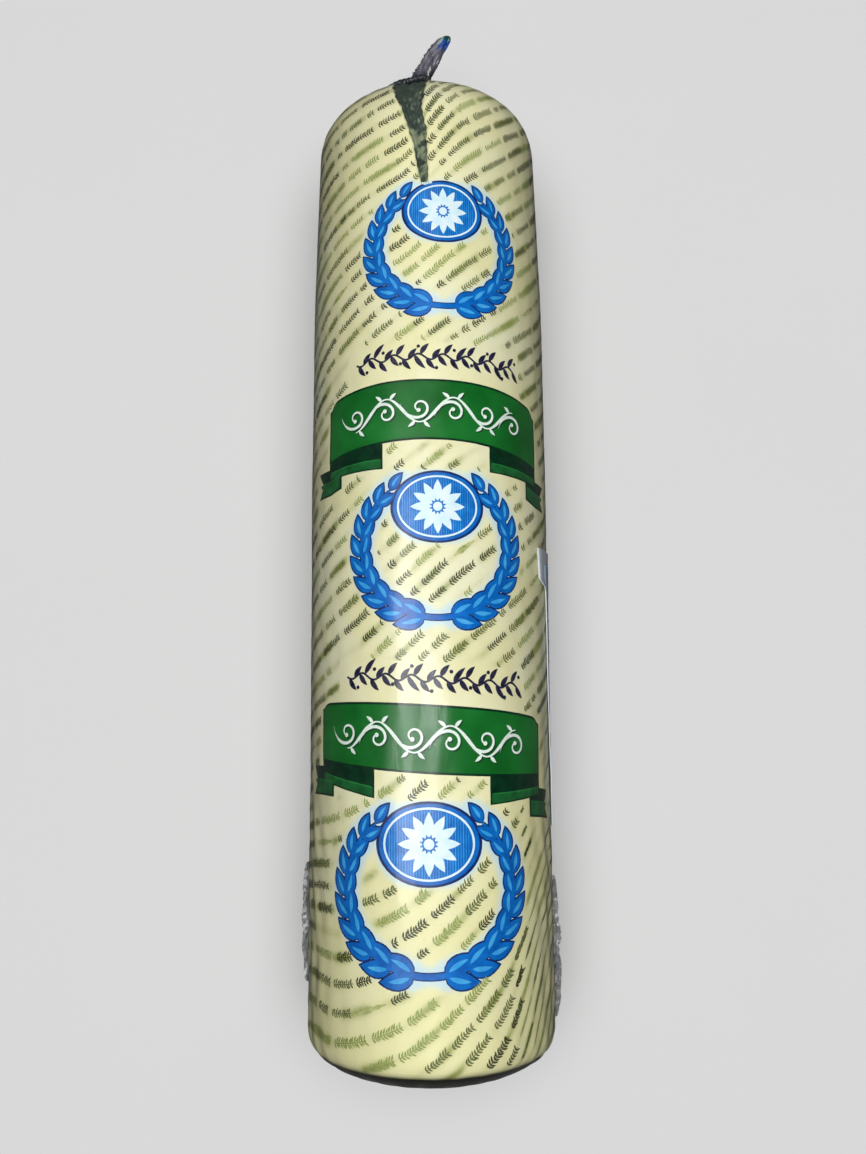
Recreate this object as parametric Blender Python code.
"""A log of pasta filata cheese in a printed film casing, lying on its side.

The log's axis runs along Y, from the near end to the far end, where the casing's
tied tail stands out. A station is a distance along the axis from the near end, and an
angle goes round the log from straight up, towards +X. All sizes are in metres.
"""

import math

import bmesh
import bpy
from mathutils import Vector

# Driving dimensions
LOG_DIAMETER = 0.084
LOG_LENGTH = 0.347
REST_FLAT_WIDTH = 0.022
GAP = 0.0003

# Rounded ends: how deep each dome is, and its superellipse exponent
NEAR_DOME = 0.016
NEAR_EXPONENT = 2.6
FAR_DOME = 0.0229
FAR_EXPONENT = 2.4
FAR_TAPER = 0.086
FAR_TAPER_LENGTH = 0.115

# The soft cheese is a little uneven. Waves along it: share of the radius, radians a metre, phase.
# Lumps round it have their number of turns as the second value
BARREL_WAVES = ((0.0028, 41, 0.0), (0.0016, 97, 1.3))
LUMPS = ((0.0030, 2, 13, 0.4), (0.0022, 3, -23, 2.1))

# Gathered film at the ends. Its pleats rise over the first two radii and fade over the last two
PLEAT_COUNT = 24
PLEAT_HEIGHT = 0.0011
NEAR_PLEATS = (0.003, 0.009, 0.013, 0.025)
FAR_PLEATS = (0.003, 0.009, 0.013, 0.027)
NEAR_PHASE = 0.9
FAR_PHASE = 2.3
NECK_RADIUS = 0.0024
FAR_NECK_RISE = 0.0065
FAR_NECK_TOP = 0.0095
FAR_NECK_SPREAD = 0.0065
NEAR_DIMPLE = 0.0055
NEAR_DIMPLE_SPREAD = 0.011
NEAR_NECK_TOP = 0.0049

# The overlapped fold of film that runs from the tail down the upper side
FOLD_TIP_STATION = 0.297
FOLD_FOOT_STATION = 0.341
FOLD_LEFT_ANGLE = math.radians(-21.5)
FOLD_RIGHT_ANGLE = math.radians(0.4)
FOLD_DEPTH = 0.0013

# Metal clips round the two necks
CLIP_HEIGHT = 0.0032
CLIP_WALL = 0.0017
CLIP_LENGTH = 0.0092
CLIP_CORNERS = 32
CLIP_SQUARENESS = 3.2

# Loose ends of film beyond the clips
TAIL_LENGTH = 0.0183
TAIL_LEAN = 0.0070
TAIL_LIFT = 0.0040
TAIL_SWING = 0.0036
TAIL_WIDTH = (0.0048, 0.0080)
TAIL_THICKNESS = (0.0044, 0.0040)
TAIL_FOLDS = 5
TUFT_LENGTH = 0.0044
TUFT_WIDTH = (0.0046, 0.0066)
TUFT_THICKNESS = (0.0042, 0.0034)
TUFT_FOLDS = 4
FILM_TWIST = math.radians(35)
FILM_FOLD_RELIEF = 0.16
TIP_ROUNDING = 0.20

# Paper label on the right side
LABEL_STATIONS = (0.080, 0.175)
LABEL_EDGE_ANGLES = (math.radians(80), math.radians(69))
LABEL_WIDTH = 0.056
LABEL_THICKNESS = 0.0005

# Ears of the clear outer film: first and last station, angle and height
LEFT_EAR = (0.028, 0.068, math.radians(-91), 0.0031)
RIGHT_EAR = (0.016, 0.063, math.radians(90), 0.0031)
EAR_THICKNESS = 0.0005
EAR_FOOT = 0.0024

# Mesh resolution: more rings where the fold cuts in
COLUMNS = 96
CAP_RINGS = 11
PLAIN_RINGS = 8
FOLD_RINGS = 4

RADIUS = LOG_DIAMETER / 2
AXIS_HEIGHT = math.sqrt(RADIUS**2 - (REST_FLAT_WIDTH / 2) ** 2)


def smooth_step(value, low, high):
    """0 below low, 1 above high, and an S-curve between."""
    t = min(1.0, max(0.0, (value - low) / (high - low)))
    return t * t * (3 - 2 * t)


def mix(low, high, share):
    return low + (high - low) * share


def barrel_radius(station):
    """Radius of the log away from its domes: nearly straight, a little uneven, narrower at the far end."""
    past = max(0.0, station - (LOG_LENGTH - FAR_TAPER_LENGTH)) / FAR_TAPER_LENGTH
    taper = 1 - FAR_TAPER * min(past, 1.0) ** 2
    uneven = sum(share * math.sin(pace * station + phase) for share, pace, phase in BARREL_WAVES)
    return RADIUS * taper * (1 + uneven)


def surface_radius(station, angle):
    """The barrel's radius with the gentle lumps that the soft cheese has all round."""
    lump = sum(
        share * math.sin(turns * angle + pace * station + phase) for share, turns, pace, phase in LUMPS
    )
    return barrel_radius(station) * (1 + lump)


def fold_share(station, angle):
    """1 inside the V of the overlapped fold, 0 outside."""
    if station < FOLD_TIP_STATION:
        return 0.0
    opened = (station - FOLD_TIP_STATION) / (FOLD_FOOT_STATION - FOLD_TIP_STATION)
    opened = min(opened, 1.0)
    middle = mix(math.radians(-1), (FOLD_LEFT_ANGLE + FOLD_RIGHT_ANGLE) / 2, opened)
    half = mix(math.radians(2), (FOLD_RIGHT_ANGLE - FOLD_LEFT_ANGLE) / 2, opened)
    return 1 - smooth_step(abs(angle - middle), 0.75 * half, 1.15 * half)


def pleat(radius, angle, limits, phase):
    """Height of the gathered film round an end, in pleats of uneven width."""
    rise_from, rise_to, fade_from, fade_to = limits
    gathered = smooth_step(radius, rise_from, rise_to) * (1 - smooth_step(radius, fade_from, fade_to))
    wander = 1.1 * math.sin(3 * angle + phase) + 0.7 * math.sin(5 * angle - 2 * phase)
    return PLEAT_HEIGHT * gathered * math.sin(PLEAT_COUNT * angle + wander)


def log_point(station, radius, angle):
    """A point of the log. Where the round underside would pass the table it lies flat on it."""
    x = radius * math.sin(angle)
    z = AXIS_HEIGHT + radius * math.cos(angle)
    return Vector((x, station, max(z, 0.0)))


def dome_rings(dome, exponent):
    """(depth below the end's tip, share of the full radius) from the neck out to the barrel."""
    rings = []
    for i in range(1, CAP_RINGS + 1):
        turn = math.radians(90) * i / CAP_RINGS
        share = math.sin(turn) ** (2 / exponent)
        depth = dome * (1 - math.cos(turn) ** (2 / exponent))
        rings.append((depth, share))
    return rings


def neck_radii():
    """Radii of the rings between a neck and the first ring of its dome."""
    return [NECK_RADIUS, NECK_RADIUS * 1.25, NECK_RADIUS * 1.7]


def near_ring(depth, radius, angle):
    """A point of the near end: a dome with a dimple at its middle, where the film is gathered."""
    dimple = NEAR_DIMPLE * math.exp(-((radius / NEAR_DIMPLE_SPREAD) ** 2))
    return log_point(depth + dimple - pleat(radius, angle, NEAR_PLEATS, NEAR_PHASE), radius, angle)


def far_ring(depth, radius, angle):
    """A point of the far end: a dome that rises to the tied neck, pleated, with the fold's V."""
    station = LOG_LENGTH - depth
    inset = FOLD_DEPTH * fold_share(station, angle) * smooth_step(radius, 0.004, 0.012)
    neck_rise = FAR_NECK_RISE * math.exp(-(radius - NECK_RADIUS) / FAR_NECK_SPREAD)
    rise = neck_rise + pleat(radius, angle, FAR_PLEATS, FAR_PHASE) - inset * radius / RADIUS
    return log_point(station + rise, radius - inset * smooth_step(radius, 0.01, 0.03), angle)


def barrel_stations():
    """Stations of the rings between the two domes."""
    far_end = LOG_LENGTH - FAR_DOME
    plain = [mix(NEAR_DOME, FOLD_TIP_STATION, i / PLAIN_RINGS) for i in range(1, PLAIN_RINGS)]
    folded = [mix(FOLD_TIP_STATION, far_end, i / FOLD_RINGS) for i in range(FOLD_RINGS)]
    return plain + folded


def log_rings():
    """Rings of points from the near neck to the far neck, each a list round the log."""
    angles = [2 * math.pi * i / COLUMNS - math.pi for i in range(COLUMNS)]
    rings = [[log_point(NEAR_DIMPLE - NEAR_NECK_TOP, NECK_RADIUS, a) for a in angles]]
    rings += [[near_ring(0.0, radius, a) for a in angles] for radius in neck_radii()]
    for depth, share in dome_rings(NEAR_DOME, NEAR_EXPONENT):
        rings.append([near_ring(depth, share * surface_radius(depth, a), a) for a in angles])

    for station in barrel_stations():
        ring = []
        for a in angles:
            inset = FOLD_DEPTH * fold_share(station, a)
            ring.append(log_point(station, surface_radius(station, a) - inset, a))
        rings.append(ring)

    for depth, share in reversed(dome_rings(FAR_DOME, FAR_EXPONENT)):
        station = LOG_LENGTH - depth
        rings.append([far_ring(depth, share * surface_radius(station, a), a) for a in angles])
    rings += [[far_ring(0.0, radius, a) for a in angles] for radius in reversed(neck_radii())]
    rings.append([log_point(LOG_LENGTH + FAR_NECK_TOP, NECK_RADIUS, a) for a in angles])
    return rings


def loft(name, rings, material):
    """A closed solid through rings of equal length, with a flat cap on the first and the last."""
    mesh = bpy.data.meshes.new(name)
    shape = bmesh.new()
    rows = [[shape.verts.new(point) for point in ring] for ring in rings]
    for row, following in zip(rows, rows[1:]):
        for i in range(len(row)):
            j = (i + 1) % len(row)
            shape.faces.new((row[i], row[j], following[j], following[i]))
    shape.faces.new(rows[0])
    shape.faces.new(reversed(rows[-1]))
    bmesh.ops.triangulate(shape, faces=[f for f in shape.faces if len(f.verts) > 3])
    bmesh.ops.recalc_face_normals(shape, faces=shape.faces)
    shape.to_mesh(mesh)
    shape.free()
    mesh.shade_smooth()
    mesh.set_sharp_from_angle(angle=math.radians(50))
    mesh.materials.append(material)
    obj = bpy.data.objects.new(name, mesh)
    bpy.context.scene.collection.objects.link(obj)
    return obj


def make_material(name, colour, roughness, metallic=0.0, alpha=1.0):
    material = bpy.data.materials.new(name)
    material.use_nodes = True
    shader = material.node_tree.nodes["Principled BSDF"]
    shader.inputs["Base Color"].default_value = (*colour, 1.0)
    shader.inputs["Roughness"].default_value = roughness
    shader.inputs["Metallic"].default_value = metallic
    shader.inputs["Alpha"].default_value = alpha
    return material


def make_log(material):
    """The cheese inside its closed casing, one solid from neck to neck."""
    return loft("cheese_log", log_rings(), material)


def make_clip(name, station, material):
    """A crimped clip: a flattened wire loop with square ends, round the neck that starts at this station."""
    inner = NECK_RADIUS + GAP
    outlines = ((CLIP_LENGTH / 2, inner + CLIP_WALL, CLIP_SQUARENESS), (inner, inner, 2.0))
    shape = bmesh.new()
    walls = []
    for height in (0.0, CLIP_HEIGHT):
        for half_width, half_height, power in outlines:
            row = []
            for i in range(CLIP_CORNERS):
                turn = 2 * math.pi * i / CLIP_CORNERS
                cosine, sine = math.cos(turn), math.sin(turn)
                x = half_width * math.copysign(abs(cosine) ** (2 / power), cosine)
                z = half_height * math.copysign(abs(sine) ** (2 / power), sine)
                point = Vector((x, station + height, AXIS_HEIGHT + z))
                row.append(shape.verts.new(point))
            walls.append(row)
    low_outer, low_inner, high_outer, high_inner = walls
    for first, second in (
        (low_outer, high_outer),
        (high_outer, high_inner),
        (high_inner, low_inner),
        (low_inner, low_outer),
    ):
        for i in range(CLIP_CORNERS):
            j = (i + 1) % CLIP_CORNERS
            shape.faces.new((first[i], first[j], second[j], second[i]))
    bmesh.ops.recalc_face_normals(shape, faces=shape.faces)
    mesh = bpy.data.meshes.new(name)
    shape.to_mesh(mesh)
    shape.free()
    mesh.materials.append(material)
    obj = bpy.data.objects.new(name, mesh)
    bpy.context.scene.collection.objects.link(obj)
    return obj


def film_bundle(start, way, lengths, widths, thicknesses, folds, steps=12, corners=28):
    """Rings of a gathered bundle of film that starts at a point, goes one way and bends to +X and up.

    lengths are its reach along the way, to +X and upwards, and how far it first swings to -X.
    """
    side = Vector((1, 0, 0))
    rings = []
    reach, lean, lift, swing = lengths
    for step in range(steps + 1):
        share = step / steps
        aside = lean * share**1.3 - swing * (1 - share) * smooth_step(share, 0.04, 0.24)
        centre = start + way * (reach * share) + side * aside
        centre = centre + Vector((0, 0, lift * share**1.6))
        past = max(0.0, share - (1 - TIP_ROUNDING)) / (TIP_ROUNDING * 1.1)
        rounded = math.sqrt(1 - past**2)
        width = mix(*widths, smooth_step(share, 0.0, 0.7)) * rounded / 2
        thickness = mix(*thicknesses, share) * rounded / 2
        twist = FILM_TWIST * share
        ring = []
        for i in range(corners):
            turn = 2 * math.pi * i / corners
            relief = FILM_FOLD_RELIEF * smooth_step(share, 0.0, 0.3)
            folded = 1 + relief * math.sin(folds * turn + 2.5 * share)
            across = width * folded * math.cos(turn)
            up = thickness * folded * math.sin(turn)
            turned_across = across * math.cos(twist) - up * math.sin(twist)
            turned_up = across * math.sin(twist) + up * math.cos(twist)
            ring.append(centre + side * turned_across + Vector((0, 0, turned_up)))
        rings.append(ring)
    return rings


def make_tail(material):
    """The tail of the casing beyond the far clip. It swings to -X, then leans to +X and upwards."""
    start = Vector((0, LOG_LENGTH + FAR_NECK_TOP + GAP, AXIS_HEIGHT))
    lengths = (TAIL_LENGTH, TAIL_LEAN, TAIL_LIFT, TAIL_SWING)
    rings = film_bundle(start, Vector((0, 1, 0)), lengths, TAIL_WIDTH, TAIL_THICKNESS, TAIL_FOLDS)
    return loft("casing_tail", rings, material)


def make_tuft(material):
    """The short cut end of film at the near clip."""
    start = Vector((0, NEAR_DIMPLE - NEAR_NECK_TOP - GAP, AXIS_HEIGHT))
    lengths = (TUFT_LENGTH, 0.0, 0.0, 0.0)
    way = Vector((0, -1, 0))
    rings = film_bundle(start, way, lengths, TUFT_WIDTH, TUFT_THICKNESS, TUFT_FOLDS, steps=8)
    return loft("casing_tuft", rings, material)


def make_label(material):
    """The paper label: a thin plate bent round the log's right side, its edges a little askew."""
    rows, columns = 12, 20
    first, last = LABEL_STATIONS
    outside, inside = [], []
    for row in range(rows + 1):
        station = mix(first, last, row / rows)
        edge = mix(*LABEL_EDGE_ANGLES, row / rows)
        upper, lower = [], []
        for column in range(columns + 1):
            angle = edge + LABEL_WIDTH / RADIUS * column / columns
            radius = surface_radius(station, angle) + GAP
            lower.append(log_point(station, radius, angle))
            upper.append(log_point(station, radius + LABEL_THICKNESS, angle))
        outside.append(upper)
        inside.append(lower)
    rings = [upper + lower[::-1] for upper, lower in zip(outside, inside)]
    shape = bmesh.new()
    grid = [[shape.verts.new(point) for point in ring] for ring in rings]
    count = len(grid[0])
    for row, following in zip(grid, grid[1:]):
        for i in range(count):
            j = (i + 1) % count
            shape.faces.new((row[i], row[j], following[j], following[i]))
    for row in (grid[0], grid[-1]):
        for i in range(columns):
            shape.faces.new((row[i], row[i + 1], row[count - 2 - i], row[count - 1 - i]))
    bmesh.ops.recalc_face_normals(shape, faces=shape.faces)
    mesh = bpy.data.meshes.new("label")
    shape.to_mesh(mesh)
    shape.free()
    mesh.materials.append(material)
    obj = bpy.data.objects.new("label", mesh)
    bpy.context.scene.collection.objects.link(obj)
    return obj


def make_ear(name, ear, phase, material):
    """A crumpled ear of the clear outer film: a foot on the log's side and a wavy blade standing out."""
    first, last, angle, height = ear
    steps = 26
    rings = []
    for step in range(steps + 1):
        share = step / steps
        station = mix(first, last, share)
        swell = math.sin(math.pi * share) ** 0.6
        ragged = 0.80 + 0.20 * math.sin(17 * share + phase) * math.sin(9 * share + 2 * phase)
        tip = EAR_THICKNESS * 1.3 + (height - EAR_THICKNESS * 1.3) * swell * ragged
        sway = 0.0009 * math.sin(14 * share + phase) + 0.0005 * math.sin(31 * share)
        foot = EAR_FOOT * (0.45 + 0.55 * swell)
        half = EAR_THICKNESS / 2
        outline = [
            (-foot, 0.0),
            (foot, 0.0),
            (foot, EAR_THICKNESS),
            (half + 0.3 * sway, EAR_THICKNESS),
            (half + sway, tip),
            (-half + sway, tip),
            (-half + 0.3 * sway, EAR_THICKNESS),
            (-foot, EAR_THICKNESS),
        ]
        ring = []
        for across, out in outline:
            turned = angle + across / RADIUS
            radius = surface_radius(station, turned) + GAP + out
            ring.append(log_point(station, radius, turned))
        rings.append(ring)
    return loft(name, rings, material)


def centre_on_origin(objects):
    """Moves every piece so that the middle of the part's underside is the origin."""
    corners = [obj.matrix_world @ Vector(c) for obj in objects for c in obj.bound_box]
    middle = [(min(c[i] for c in corners) + max(c[i] for c in corners)) / 2 for i in range(2)]
    for obj in objects:
        obj.location -= Vector((*middle, 0.0))


def clear_scene():
    for obj in list(bpy.data.objects):
        bpy.data.objects.remove(obj, do_unlink=True)


def main():
    clear_scene()
    casing = make_material("casing_print", (0.78, 0.76, 0.48), 0.3)
    gathered = make_material("gathered_film", (0.20, 0.21, 0.25), 0.35)
    metal = make_material("clip_metal", (0.62, 0.63, 0.65), 0.35, metallic=1.0)
    paper = make_material("label_paper", (0.80, 0.83, 0.88), 0.6)
    clear = make_material("clear_film", (0.75, 0.77, 0.78), 0.1, alpha=0.4)

    pieces = [
        make_log(casing),
        make_tail(gathered),
        make_tuft(gathered),
        make_clip("clip_far", LOG_LENGTH + FAR_NECK_RISE + GAP, metal),
        make_clip("clip_near", NEAR_DIMPLE - NEAR_NECK_TOP + GAP, metal),
        make_label(paper),
        make_ear("film_ear_left", LEFT_EAR, 0.6, clear),
        make_ear("film_ear_right", RIGHT_EAR, 2.2, clear),
    ]
    bpy.context.view_layer.update()
    centre_on_origin(pieces)


main()
